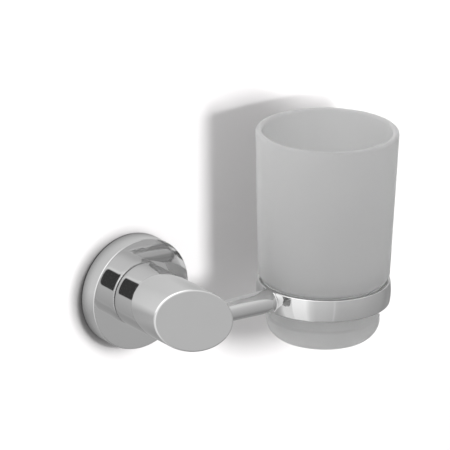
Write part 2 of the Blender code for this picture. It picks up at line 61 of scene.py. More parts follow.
QUARTER = math.pi / 2
HALF = math.pi
GAP = 0.0003  # between a piece and the hole that it sits in
OVERRUN = 0.001  # how far a cutter passes the surface
SUPPORT = 0.00003  # from a rounded edge to the point that keeps the flat beside it flat
WELD = 0.0000005  # points nearer than this are one
SLIVER = 0.0000002  # edges shorter than this go
SMALL_STEPS = 64  # round a screw or a plug
PATH_RADIUS = 0.1  # of the circle that an outline is swept round, wider than any piece
SHARP_ANGLE = math.radians(32)
UNTURNED = Matrix.Identity(4)

# Places of the pieces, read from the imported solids
rosette_low, rosette_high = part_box("rosette")
post_low, post_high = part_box("post")
ring_low, ring_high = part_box("ring")
liner_low, liner_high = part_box("ring_liner")
glass_low, glass_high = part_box("tumbler")
arm_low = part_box("arm")[0]
plate_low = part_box("wall_plate")[0]
bolt_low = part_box("post_bolt")[0]

ring_x = (ring_low.x + ring_high.x) / 2
reach = -(ring_low.y + ring_high.y) / 2
ring_radius = (ring_high.x - ring_low.x) / 2
ring_top = ring_high.z
rosette_radius = (rosette_high.x - rosette_low.x) / 2
post_radius = (post_high.z - post_low.z) / 2
liner_radius = (liner_high.x - liner_low.x) / 2
mouth_radius = (glass_high.x - glass_low.x) / 2
mouth_height = glass_high.z
foot_height = glass_low.z

# Sizes that the solids' boxes don't give
ROSETTE_EDGE_ROUND = 0.0007
ROSETTE_BACK_ROUND = 0.0003
ROSETTE_INNER_ROUND = 0.0004
ROSETTE_SKIRT_WALL = 0.0042
ROSETTE_FRONT_WALL = 0.0022
POST_GAP = 0.00014  # from the rosette to the post's back
POST_FACE_LEAD = 0.00145
POST_FACE_SLOPE = 0.64
POST_FACE_ROUND = 0.0010
POST_FACE_WALL = 0.0015  # metal left between the spigot's hole and the slanted face
POST_BACK_ROUND = 0.0006
EASE_RUN = 0.0027  # the polished faces fall away a little where they meet an edge
EASE_DEPTH = 0.00007
ARM_ROOT_RADIUS = 0.0049
ARM_ROOT_SWELL = 0.000001  # the cone's growth over its first support
ARM_ROOT_PLAY = 0.00008
ARM_ROOT_SINK = 0.0015  # how deep the root sits in the post's side
ARM_END_RADIUS = 0.0054
ARM_LIFT = 0.0004
ARM_FILLET_RADIUS = 0.0005
ARM_FLAT_MARGIN = 0.0001
ARM_FLAT_CUTTER = 0.03
ARM_TUCK = 0.00001  # the fillet ends this far under the ring's skin
ARM_SKIRT = 0.0006  # and goes on into the ring this far
ARM_TIP = 0.0007
SPIGOT_RADIUS = 0.0030
SPIGOT_CHAMFER = 0.0005
RING_CROWN = 0.0005
RING_EDGE = 0.0006
RING_FOOT_ROUND = 0.0003
RING_TOP_ROUND = 0.0004
RING_BORE = 0.0288
RING_LEDGE_WIDTH = 0.0012
RING_LEDGE_HEIGHT = 0.0015
RING_LEDGE_ROUND = 0.0002
LINER_BORE = 0.0269
LINER_CHAMFER = 0.0004
LINER_TOP_ROUND = 0.0001
LINER_FOOT_ROUND = 0.0003
SHOULDER_RADIUS = 0.0303
SHOULDER_ROUND = 0.0036
SHOULDER_INSIDE = 2.2  # height of the shoulder's inside, in shoulder rounds
NECK_RADIUS = 0.0254
NECK_CORNER = 0.0008
NECK_SHARE = 0.585
SWELL_SHARE = 0.64
BASE_RADIUS = 0.0262
BASE_ROUND = 0.0092
GLASS_SEAT = 0.0001
GLASS_WALL = 0.0030
GLASS_FLOOR = 0.0060
FOOT_WIDTH = 0.0040
FOOT_RECESS = 0.0008
PLATE_FLOOR = 0.0020
BOLT_RADIUS = 0.0030
PIN_RADIUS = 0.0015
PIN_OFFSET = 0.009075
GRUB_RADIUS = 0.0020
ARM_GRUB_X = 0.00959
SCREW_OFFSET = 0.0125
SCREW_RADIUS = 0.00225
SCREW_LENGTH = 0.0400
SCREW_HEAD_RADIUS = 0.0042
SCREW_HEAD_HEIGHT = 0.0028
SCREW_TIP_RADIUS = 0.0002
SCREW_POINT = 0.0060
SCREW_SHANK = (0.0045, 0.0035)  # under the head, where the core widens to the plain shank
CROSS_WIDTH = 0.0042
CROSS_SLOT = 0.0010
CROSS_DEPTH = 0.0016
CROSS_TAPER = 0.25
THREAD_LENGTH = SCREW_LENGTH - 0.0055
THREAD_TIP_GAP = 0.0005
THREAD_SPIRAL_START = 0.0005  # radius at which the even spiral starts
THREAD_TIP_RADIUS = 0.0004
THREAD_TAPER = 0.0065
THREAD_STAND = 0.0002  # from the core to the middle of the thread's ridge
THREAD_RIDGE = 0.66  # radius of the ridge, in thread depths
PLUG_RADIUS = 0.0040
PLUG_LENGTH = 0.0360
PLUG_COLLAR = 0.0040
PLUG_COLLAR_SLOPE = 0.0006
PLUG_NOSE = (0.0004, 0.0012)  # how much thinner the nose is, over what length
PLUG_SPLIT = (0.0010, 0.0092)
PLUG_SPLIT_SHARE = 0.62
PLUG_CROSS_SHARE = 0.8
PLUG_WALL_STEP = 0.0008  # from the collar's radius down to the core's
RIB = ((-0.0010, 0), (-0.0001, -0.0001), (0, -0.0005), (-0.0010, -0.0016))  # out from the plug, up
RIBS_START = 0.0009
RIBS_SPARE = 0.0020

post_back = -rosette_low.y + POST_GAP
arm_root = post_radius - ARM_ROOT_SINK


def at(x, y, z):
    """A place, unturned."""
    return Matrix.Translation((x, y, z))


WALL_FRAME = Matrix.Rotation(QUARTER, 4, "X")
RING_FRAME = at(ring_x, -reach, 0)
SIDES = (("left", -SCREW_OFFSET), ("right", SCREW_OFFSET))
STEEL_INSIDE = (
    "post_bolt", "lock_washer", "locating_pin_upper", "locating_pin_lower", "rosette_grub_screw",
    "arm_grub_screw",
)


class TumblerHolderSizes(bpy.types.PropertyGroup):
    """Finishing sizes that a user may change."""

    turn_steps: bpy.props.IntProperty(
        name="Turn Steps", description="Steps round a turned piece", default=256, min=48, max=512
    )
    edge_steps: bpy.props.IntProperty(
        name="Edge Steps", description="Steps across a rounded edge", default=8, min=2, max=16
    )
    thread_pitch: bpy.props.FloatProperty(
        name="Wall Screw Pitch",
        description="Distance between the turns of the wall screws' thread",
        default=0.0018,
        unit="LENGTH",
        precision=4,
    )
    thread_depth: bpy.props.FloatProperty(
        name="Wall Screw Thread Depth",
        description="How deep the wall screws' thread is cut",
        default=0.0007,
        unit="LENGTH",
        precision=4,
    )
    plug_ribs: bpy.props.IntProperty(
        name="Plug Ribs", description="Ribs along each wall plug", default=12, min=2, max=24
    )


def colour(name, what, default):
    """A colour that a user may change."""
    return bpy.props.FloatVectorProperty(name=name, description=what, subtype="COLOR", default=default)


class TumblerHolderColours(bpy.types.PropertyGroup):
    """Finishes that a user may change."""

    chrome: colour("Chrome", "Polished chrome", (0.62, 0.62, 0.62))
    glass: colour("Frosted Glass", "Blasted glass", (0.80, 0.80, 0.80))
    liner: colour("Liner", "Milky plastic liner", (0.70, 0.71, 0.71))
    zinc: colour("Cast Zinc", "Bare die-cast zinc", (0.46, 0.46, 0.47))
    steel: colour("Plated Steel", "Zinc-plated steel", (0.56, 0.57, 0.58))
    nylon: colour("Nylon", "Grey moulded nylon", (0.40, 0.41, 0.42))
    wall: colour("Wall", "Painted wall", (0.85, 0.85, 0.85))


def sizes():
    """The sizes set in the scene."""
    return bpy.context.scene.tumbler_holder_sizes


def colours():
    """The finishes set in the scene."""
    return bpy.context.scene.tumbler_holder_colours


# Nodes


def add(tree, kind, feeds=None, **settings):
    """A new node with its settings. Each feed is a plain value or another node's output."""
    made = tree.nodes.new(kind)
    for name, value in settings.items():
        setattr(made, name, value)
    for key, value in (feeds or {}).items():
        if isinstance(value, bpy.types.NodeSocket):
            tree.links.new(value, made.inputs[key])
        else:
            made.inputs[key].default_value = value
    return made


def work(tree, operation, one, two=0.0):
    """One value, or two put together, by a Math node."""
    return add(tree, "ShaderNodeMath", {0: one, 1: two}, operation=operation).outputs[0]


def times(tree, one, two):
    """Two values multiplied."""
    return work(tree, "MULTIPLY", one, two)


def blend(tree, share, one, two):
    """A value between two others."""
    feeds = {"Factor": share, "A": one, "B": two}
    return add(tree, "ShaderNodeMix", feeds, data_type="FLOAT").outputs["Result"]


def blend_colours(tree, share, one, two):
    """A colour between two others."""
    return add(tree, "ShaderNodeMix", {"Factor": share, 6: one, 7: two}, data_type="RGBA").outputs[2]


def smooth_step(tree, value, low, high):
    """A soft edge from 0 to 1 between two values."""
    feeds = {"Value": value, "From Min": low, "From Max": high}
    return add(tree, "ShaderNodeMapRange", feeds, interpolation_type="SMOOTHSTEP").outputs["Result"]


# Finishes


def grain_group():
    """Grain that colour, roughness and relief share: built once, placed in every finish."""
    group = bpy.data.node_groups.get("surface_grain")
    if group:
        return group
    group = bpy.data.node_groups.new("surface_grain", "ShaderNodeTree")
    for name, kind, value in (
        ("Vector", "Vector", None), ("Patch Scale", "Float", 60.0), ("Grain Scale", "Float", 2500.0),
        ("Grain Share", "Float", 0.5), ("Dark", "Color", None), ("Light", "Color", None),
        ("Smooth", "Float", None), ("Rough", "Float", None),
    ):
        made = group.interface.new_socket(name=name, in_out="INPUT", socket_type=f"NodeSocket{kind}")
        if value:
            made.default_value = value
    for name, kind in (("Colour", "Color"), ("Roughness", "Float"), ("Height", "Float")):
        group.interface.new_socket(name=name, in_out="OUTPUT", socket_type=f"NodeSocket{kind}")
    given = group.nodes.new("NodeGroupInput").outputs
    noises = []
    for scale, detail in (("Patch Scale", 3.0), ("Grain Scale", 2.0)):
        feeds = {"Vector": given["Vector"], "Scale": given[scale], "Detail": detail}
        noises.append(add(group, "ShaderNodeTexNoise", feeds).outputs["Fac"])
    patches, grain = noises
    both = blend(group, given["Grain Share"], patches, grain)
    feeds = {
        "Colour": blend_colours(group, both, given["Dark"], given["Light"]),
        "Roughness": blend(group, both, given["Smooth"], given["Rough"]),
        "Height": grain,
    }
    add(group, "NodeGroupOutput", feeds)
    return group


def tint(colour, share):
    """A colour made lighter or darker, as a shader colour."""
    return (*(min(part * share, 1.0) for part in colour), 1.0)


def finish(name, colour, spread, roughness, metallic, patch, grain, share, relief, stretch=(1, 1, 1)):
    """A finish on Object coordinates: colour, roughness and relief follow the same grain."""
    material = bpy.data.materials.get(name)
    if material:
        return material
    material = bpy.data.materials.new(name)
    material.use_nodes = True
    tree = material.node_tree
    shader = tree.nodes["Principled BSDF"].inputs
    shader["Metallic"].default_value = metallic
    place = add(tree, "ShaderNodeTexCoord").outputs["Object"]
    centred = add(tree, "ShaderNodeMapping", {"Vector": place, "Scale": stretch})
    feeds = {
        "Vector": centred.outputs["Vector"],
        "Patch Scale": patch,
        "Grain Scale": grain,
        "Grain Share": share,
        "Dark": tint(colour, 1 - spread),
        "Light": tint(colour, 1 + spread),
        "Smooth": roughness[0],
        "Rough": roughness[1],
    }
    surface = add(tree, "ShaderNodeGroup", feeds, node_tree=grain_group()).outputs
    tree.links.new(surface["Colour"], shader["Base Color"])
    tree.links.new(surface["Roughness"], shader["Roughness"])
    if relief:
        feeds = {"Strength": 1.0, "Distance": relief, "Height": surface["Height"]}
        tree.links.new(add(tree, "ShaderNodeBump", feeds).outputs["Normal"], shader["Normal"])
    material.diffuse_color = tint(colour, 1)
    return material


def chrome():
    """Polished chrome: faint polishing haze, no relief that would bend a reflection."""
    return finish("polished_chrome", colours().chrome, 0.03, (0.02, 0.07), 1.0, 90.0, 1400.0, 0.3, 0)


def frosted_glass():
    """Blasted glass: nearly opaque, with the fine grain of the blasting."""
    name = "frosted_tumbler_glass"
    material = finish(name, colours().glass, 0.03, (0.55, 0.75), 0.0, 40.0, 5200.0, 0.6, 0.00002)
    shader = material.node_tree.nodes["Principled BSDF"].inputs
    shader["Transmission Weight"].default_value = 0.72
    shader["IOR"].default_value = 1.5
    shader["Specular IOR Level"].default_value = 0.3
    return material


def liner_plastic():
    """Milky soft plastic."""
    look = (0.04, (0.25, 0.4), 0.0, 120.0, 2600.0, 0.4, 0.00001)
    return finish("milky_liner_plastic", colours().liner, *look)


def cast_zinc():
    """Bare die-cast zinc with a sandy skin."""
    return finish("die_cast_zinc", colours().zinc, 0.18, (0.38, 0.6), 1.0, 220.0, 3200.0, 0.5, 0.00004)


def plated_steel():
    """Zinc plating over turned steel, a little cloudy."""
    return finish("zinc_plated_steel", colours().steel, 0.12, (0.2, 0.42), 1.0, 400.0, 3600.0, 0.4, 0.00001)


def nylon():
    """Moulded nylon with flow marks along the plug."""
    look = (0.10, (0.45, 0.65), 0.0, 260.0, 3000.0, 0.5, 0.00002, (1, 0.25, 1))
    return finish("moulded_nylon", colours().nylon, *look)


# Making shapes


def shares(steps):
    """Even steps from 0 to 1, both ends included."""
    return [step / steps for step in range(steps + 1)]


def swing(first, last, sweep, share):
    """A spoke turned part of the way from the first to the last, which are a sweep apart."""
    return (first * math.sin((1 - share) * sweep) + last * math.sin(share * sweep)) / math.sin(sweep)


def eased(corners, closed, steps):
    """Round the corners of an outline of (radius, height, round), with a support point beside each."""
    count = len(corners)
    points = []
    for index, (radius, height, ease) in enumerate(corners):
        here = Vector((radius, height))
        if not ease or (not closed and index in (0, count - 1)):
            points.append((radius, height))
            continue
        before = (Vector(corners[index - 1][:2]) - here).normalized()
        after = (Vector(corners[(index + 1) % count][:2]) - here).normalized()
        half = before.angle(after) / 2
        tangent = ease / math.tan(half)
        centre = here + (before + after).normalized() * (ease / math.sin(half))
        start = here + before * tangent
        end = here + after * tangent
        points.append(tuple(start + before * SUPPORT))
        for share in shares(steps):
            points.append(tuple(centre + swing(start - centre, end - centre, math.pi - 2 * half, share)))
        points.append(tuple(end + after * SUPPORT))
    return points


def arc(centre, radius, start, end, steps):
    """Points of an arc, angles from the radial direction, both ends included."""
    angles = [start + (end - start) * step / steps for step in range(steps + 1)]
    return [(centre[0] + radius * math.cos(turn), centre[1] + radius * math.sin(turn)) for turn in angles]


def ramp(start, end, steps):
    """Points of a smooth S between two outline points, both ends included."""
    points = []
    for along in shares(steps):
        bend = (1 - math.cos(HALF * along)) / 2
        points.append((start[0] + (end[0] - start[0]) * bend, start[1] + (end[1] - start[1]) * along))
    return points


def shape_tree(name, inputs, fill):
    """A geometry tree with its named inputs, built once: fill makes its shape from them."""
    tree = bpy.data.node_groups.get(name)
    if tree:
        return tree
    tree = bpy.data.node_groups.new(name, "GeometryNodeTree")
    for label, kind in (("Geometry", "Geometry"), *inputs, ("Finish", "Material")):
        tree.interface.new_socket(name=label, in_out="INPUT", socket_type=f"NodeSocket{kind}")
    tree.interface.new_socket(name="Geometry", in_out="OUTPUT", socket_type="NodeSocketGeometry")
    given = tree.nodes.new("NodeGroupInput").outputs
    real = add(tree, "GeometryNodeRealizeInstances", {"Geometry": fill(tree, given)})
    coat = add(tree, "GeometryNodeSetMaterial", {"Geometry": real.outputs[0], "Material": given["Finish"]})
    add(tree, "NodeGroupOutput", {"Geometry": coat.outputs[0]})
    return tree


def grow(base, tree, values):
    """Run a geometry tree on a base object and keep its result as a plain mesh."""
    inputs = [item for item in tree.interface.items_tree if item.in_out == "INPUT"]
    keys = {item.name: item.identifier for item in inputs}
    modifier = base.modifiers.new(tree.name, "NODES")
    modifier.node_group = tree
    for label, value in values.items():
        modifier[keys[label]] = value
    flatten(base)


def flatten(base):
    """Keep an object's evaluated shape as a plain mesh, its modifiers removed."""
    graph = bpy.context.evaluated_depsgraph_get()
    graph.update()
    mesh = bpy.data.meshes.new_from_object(base.evaluated_get(graph))
    base.modifiers.clear()
    base.data = mesh


def link(name, mesh):
    """A new object in the scene."""
    made = bpy.data.objects.new(name, mesh)
    bpy.context.scene.collection.objects.link(made)
    return made


def settle(piece, place, material):
    """Put a piece's place into its mesh, close it, point its faces out and smooth it."""
    shape = bmesh.new()
    shape.from_mesh(piece.data)
    bmesh.ops.remove_doubles(shape, verts=shape.verts, dist=WELD)
    bmesh.ops.dissolve_degenerate(shape, edges=shape.edges, dist=SLIVER)
    bmesh.ops.recalc_face_normals(shape, faces=shape.faces)
    bmesh.ops.transform(shape, matrix=place, verts=shape.verts)
    shape.to_mesh(piece.data)
    shape.free()
    piece.data.shade_smooth()
    piece.data.set_sharp_from_angle(angle=SHARP_ANGLE)
    piece.data.materials.clear()
    piece.data.materials.append(material)


def turn_outline(tree, given):
    """Turn an outline mesh of (radius, height) points once round the axis."""
    inward = times(tree, given["Path Radius"], -1.0)
    feeds = {
        "Geometry": given["Geometry"],
        "Translation": add(tree, "ShaderNodeCombineXYZ", {"X": inward}).outputs[0],
        "Scale": (1.0, -1.0, 1.0),
    }
    shift = add(tree, "GeometryNodeTransform", feeds)
    outline = add(tree, "GeometryNodeMeshToCurve", {"Mesh": shift.outputs[0]})
    feeds = {"Radius": given["Path Radius"], "Resolution": given["Steps"]}
    path = add(tree, "GeometryNodeCurvePrimitiveCircle", feeds)
    upright = add(tree, "GeometryNodeSetCurveNormal", {"Curve": path.outputs[0]}, mode="Z_UP")
    feeds = {"Curve": upright.outputs[0], "Profile Curve": outline.outputs[0]}
    sweep = add(tree, "GeometryNodeCurveToMesh", feeds)
    feeds = {"Geometry": sweep.outputs[0], "Distance": WELD}
    return add(tree, "GeometryNodeMergeByDistance", feeds).outputs[0]


def turned(name, points, material, steps=None):
    """A turned solid round local Z from its outline: closed, or from axis to axis."""
    mesh = bpy.data.meshes.new(name)
    count = len(points)
    edges = [(index, index + 1) for index in range(count - 1)]
    if points[0][0] > 0:
        edges.append((count - 1, 0))
    mesh.from_pydata([(radius, height, 0) for radius, height in points], edges, [])
    piece = link(name, mesh)
    tree = shape_tree("turn_outline", (("Path Radius", "Float"), ("Steps", "Int")), turn_outline)
    steps = steps or sizes().turn_steps
    grow(piece, tree, {"Path Radius": PATH_RADIUS, "Steps": steps, "Finish": material})
    return piece


def solid(name, shape):
    """A new object from the faces built in a shape."""
    bmesh.ops.recalc_face_normals(shape, faces=shape.faces)
    mesh = bpy.data.meshes.new(name)
    shape.to_mesh(mesh)
    shape.free()
    return link(name, mesh)


def prism(name, corners, bottom, top, end_scale=1.0):
    """A flat outline raised from bottom to top, its top outline scaled about the axis."""
    shape = bmesh.new()
    lower = [shape.verts.new((x, y, bottom)) for x, y in corners]
    upper = [shape.verts.new((x * end_scale, y * end_scale, top)) for x, y in corners]
    shape.faces.new(lower)
    shape.faces.new(upper)
    count = len(corners)
    for index in range(count):
        following = (index + 1) % count
        shape.faces.new((lower[index], lower[following], upper[following], upper[index]))
    return solid(name, shape)


def box_corners(width, depth):
    """The corners of a centred rectangle."""
    x = width / 2
    y = depth / 2
    return [(-x, -y), (x, -y), (x, y), (-x, y)]


def cross_corners(width, slot):
    """The outline of a four-winged driver recess."""
    x = width / 2
    y = slot / 2
    corners = []
    for turn in range(4):
        for px, py in ((x, -y), (x, y), (y, y)):
            for _ in range(turn):
                px, py = -py, px
            corners.append((px, py))
    return corners


def drill(radius, bottom, top, place=UNTURNED, steps=48):
    """A round cutter and its place."""
    turns = [2 * math.pi * step / steps for step in range(steps)]
    corners = [(radius * math.cos(turn), radius * math.sin(turn)) for turn in turns]
    return prism("drill", corners, bottom, top), place


def cut_out(piece, cutters):
    """Take cutters, given with their places, out of a piece and throw them away."""
    for cutter, place in cutters:
        cutter.data.transform(place)
        combine(piece, cutter, "DIFFERENCE")
    flatten(piece)
    for cutter, place in cutters:
        bpy.data.objects.remove(cutter, do_unlink=True)


def fuse(piece, extra):
    """Make one closed solid of a piece and another object."""
    combine(piece, extra, "UNION")
    flatten(piece)
    bpy.data.objects.remove(extra, do_unlink=True)


def combine(piece, other, operation):
    """Set a piece to be cut by another object or joined with it."""
    boolean = piece.modifiers.new(other.name, "BOOLEAN")
    boolean.operation = operation
    boolean.solver = "EXACT"
    boolean.object = other


def join(piece, extra):
    """Put another object's mesh into a piece and drop the other object."""
    shape = bmesh.new()
    shape.from_mesh(piece.data)
    shape.from_mesh(extra.data)
    shape.to_mesh(piece.data)
    shape.free()
    bpy.data.objects.remove(extra, do_unlink=True)


def dress(piece, body, nodes):
    """Let a piece ride and stand for its solids."""
    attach(piece, body)
    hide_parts(*nodes)


# Pieces


class TUMBLERHOLDER_OT_rosette(bpy.types.Operator):
    """The round cover on the wall, with its eased front edge and the set screw's hole below"""

    bl_idname = "tumbler_holder.rosette"
    bl_label = "Rosette"

    def execute(self, context):
        depth = -rosette_low.y
        back = -rosette_high.y
        bore = rosette_radius - ROSETTE_SKIRT_WALL
        cavity = depth - ROSETTE_FRONT_WALL
        steps = sizes().edge_steps
        sunk = [
            (post_radius + EASE_RUN * share, depth - EASE_DEPTH * (1 - share) ** 2, 0)
            for share in shares(steps)
        ]
        crown = [
            (rosette_radius - EASE_RUN * (1 - share), depth - EASE_DEPTH * share**2, 0)
            for share in shares(steps)
        ]
        corners = [
            (0, depth - EASE_DEPTH, 0),
            *sunk,
            *crown[:-1],
            (rosette_radius, depth - EASE_DEPTH, ROSETTE_EDGE_ROUND),
            (rosette_radius, back, ROSETTE_BACK_ROUND),
            (bore, back, ROSETTE_BACK_ROUND),
            (bore, cavity, ROSETTE_INNER_ROUND),
            (0, cavity, 0),
        ]
        piece = turned("rosette_cover", eased(corners, False, steps), chrome())
        groove_height = (PLATE_FLOOR - plate_low.y) / 2
        grub_place = at(0, 0, groove_height) @ Matrix.Rotation(QUARTER, 4, "X")
        front = (cavity - OVERRUN, depth + OVERRUN)
        holes = [
            drill(GRUB_RADIUS + GAP, bore - OVERRUN, rosette_radius + OVERRUN, grub_place),
            drill(BOLT_RADIUS + GAP, *front),
        ]
        for y in (PIN_OFFSET, -PIN_OFFSET):
            holes.append(drill(PIN_RADIUS + GAP, *front, at(0, y, 0), 32))
        cut_out(piece, holes)
        settle(piece, WALL_FRAME, chrome())
        dress(piece, "holder", ["rosette"])
        return {"FINISHED"}


class TUMBLERHOLDER_OT_post(bpy.types.Operator):
    """The round bar whose front is cut on a slant and eased all round"""

    bl_idname = "tumbler_holder.post"
    bl_label = "Post"

    def execute(self, context):
        front = reach + POST_FACE_LEAD
        top = front + POST_FACE_SLOPE * post_radius + OVERRUN
        steps = sizes().edge_steps
        corners = [
            (0, post_back, 0),
            (post_radius - EASE_DEPTH, post_back, POST_BACK_ROUND),
            *(
                (post_radius - EASE_DEPTH * (1 - share) ** 2, post_back + EASE_RUN * share, 0)
                for share in shares(steps)[2:]
            ),
            (post_radius, top, 0),
            (0, top, 0),
        ]
        piece = turned("slanted_post", eased(corners, False, steps), chrome())
        self.slant(piece, front)
        outside = post_radius + OVERRUN
        spigot_end = (POST_FACE_WALL + SPIGOT_RADIUS + GAP - POST_FACE_LEAD) / POST_FACE_SLOPE
        arm_place = at(0, ARM_LIFT, reach) @ Matrix.Rotation(QUARTER, 4, "Y")
        grub_place = at(ARM_GRUB_X, 0, reach) @ Matrix.Rotation(QUARTER, 4, "X")
        holes = [
            drill(SPIGOT_RADIUS + GAP, spigot_end, outside, arm_place),
            drill(ARM_ROOT_RADIUS + ARM_ROOT_PLAY, arm_root, outside, arm_place, 96),
            drill(GRUB_RADIUS + GAP, 0, outside, grub_place),
            drill(BOLT_RADIUS + GAP, post_back - OVERRUN, -bolt_low.y + GAP),
        ]
        cut_out(piece, holes)
        settle(piece, WALL_FRAME, chrome())
        flat_sides = piece.modifiers.new("flat_sides", "WEIGHTED_NORMAL")
        flat_sides.keep_sharp = True
        flat_sides.weight = 50
        flatten(piece)
        dress(piece, "holder", ["post"])
        return {"FINISHED"}

    def slant(self, piece, front):
        """Cut the bar's front on the slant and round the edge that this leaves."""
        shape = bmesh.new()
        shape.from_mesh(piece.data)
        sliced = bmesh.ops.bisect_plane(
            shape,
            geom=shape.verts[:] + shape.edges[:] + shape.faces[:],
            plane_co=(0, 0, front),
            plane_no=Vector((-POST_FACE_SLOPE, 0, 1)).normalized(),
            clear_outer=True,
        )
        rim = [item for item in sliced["geom_cut"] if isinstance(item, bmesh.types.BMEdge)]
        bmesh.ops.contextual_create(shape, geom=rim)
        bmesh.ops.bevel(
            shape, geom=rim, offset=POST_FACE_ROUND, offset_type="OFFSET", segments=sizes().edge_steps,
            profile=0.5, affect="EDGES",
        )
        shape.to_mesh(piece.data)
        shape.free()


class TUMBLERHOLDER_OT_arm(bpy.types.Operator):
    """The tapered arm, brazed and polished into the ring's side"""

    bl_idname = "tumbler_holder.arm"
    bl_label = "Arm"

    def execute(self, context):
        shape = bmesh.new()
        steps = sizes().turn_steps // 2
        rows = [
            [shape.verts.new(point) for point in self.row(2 * math.pi * step / steps)]
            for step in range(steps)
        ]
        strips = list(zip(rows, rows[1:] + rows[:1]))
        for one, two in strips:
            for index in range(len(one) - 1):
                shape.faces.new((one[index], two[index], two[index + 1], one[index + 1]))
        shape.faces.new([row[0] for row in rows])
        ring_side = ring_x - ring_radius
        far = shape.verts.new((ring_side + ARM_TIP, 0, 0))
        for one, two in strips:
            shape.faces.new((one[-1], two[-1], far))
        piece = solid("tapered_arm", shape)
        piece.data.transform(at(0, 0, ARM_LIFT))
        limit = ring_top - ARM_FLAT_MARGIN
        cutters = []
        for side, turn in ((1, 0), (-1, HALF)):
            slab = prism("flat", box_corners(ARM_FLAT_CUTTER, ARM_FLAT_CUTTER), 0, ARM_FLAT_CUTTER)
            place = at(ring_side, 0, side * limit) @ Matrix.Rotation(turn, 4, "X")
            cutters.append((slab, place))
        cut_out(piece, cutters)
        settle(piece, at(0, -reach, 0), chrome())
        dress(piece, "holder", ["arm"])
        return {"FINISHED"}

    def row(self, turn):
        """The points along one line of the arm, from the spigot's end to inside the ring."""
        spoke = Vector((0, math.sin(turn), math.cos(turn)))
        root = arm_root + GAP
        ball = ARM_END_RADIUS + ARM_FILLET_RADIUS
        skin = ring_radius - ARM_TUCK + ARM_FILLET_RADIUS
        x = ring_x - math.sqrt(skin**2 - (ball * spoke.y) ** 2)
        centre = Vector((x, ball * spoke.y, ball * spoke.z))
        last = Vector((ring_x - x, -centre.y, 0)).normalized()
        sweep = (-spoke).angle(last)
        stations = (
            (arm_low.x, SPIGOT_RADIUS - SPIGOT_CHAMFER),
            (arm_low.x + SPIGOT_CHAMFER, SPIGOT_RADIUS),
            (root, SPIGOT_RADIUS),
            (root, ARM_ROOT_RADIUS),
            (root + SUPPORT, ARM_ROOT_RADIUS + ARM_ROOT_SWELL),
        )
        points = [Vector((along, 0, 0)) + spoke * radius for along, radius in stations]
        for share in shares(2 * sizes().edge_steps):
            points.append(centre + swing(-spoke, last, sweep, share) * ARM_FILLET_RADIUS)
        return [*points, points[-1] + last * ARM_SKIRT]


class TUMBLERHOLDER_OT_ring(bpy.types.Operator):
    """The band round the glass, its edges eased, with a ledge for the liner"""

    bl_idname = "tumbler_holder.ring"
    bl_label = "Ring"

    def execute(self, context):
        ledge = RING_BORE - RING_LEDGE_WIDTH
        inset = ring_radius - RING_CROWN
        crown = (ring_top**2 + RING_CROWN**2) / (2 * RING_CROWN)
        lean = math.asin(ring_top / crown)
        swell = arc((ring_radius - crown, 0), crown, lean, -lean, 3 * sizes().edge_steps)
        corners = [
            (inset, ring_top, RING_EDGE),
            *((x, z, 0) for x, z in swell[1:-1]),
            (inset, -ring_top, RING_EDGE),
            (ledge, -ring_top, RING_FOOT_ROUND),
            (ledge, RING_LEDGE_HEIGHT - ring_top, RING_LEDGE_ROUND),
            (RING_BORE, RING_LEDGE_HEIGHT - ring_top, 0),
            (RING_BORE, ring_top, RING_TOP_ROUND),
        ]
        points = eased(corners, True, sizes().edge_steps)
        piece = turned("band_ring", points, chrome())
        settle(piece, RING_FRAME, chrome())
        dress(piece, "holder", ["ring"])
        return {"FINISHED"}


class TUMBLERHOLDER_OT_liner(bpy.types.Operator):
    """The loose plastic ring between the metal and the glass"""

    bl_idname = "tumbler_holder.liner"
    bl_label = "Liner"

    def execute(self, context):
        corners = [
            (liner_radius, liner_high.z, LINER_TOP_ROUND),
            (liner_radius, liner_low.z, LINER_FOOT_ROUND),
            (LINER_BORE, liner_low.z, LINER_CHAMFER),
            (LINER_BORE, liner_high.z, LINER_CHAMFER),
        ]
        points = eased(corners, True, sizes().edge_steps)
        piece = turned("soft_liner", points, liner_plastic(), sizes().turn_steps // 2)
        settle(piece, RING_FRAME, liner_plastic())
        dress(piece, "liner", ["ring_liner"])
        return {"FINISHED"}


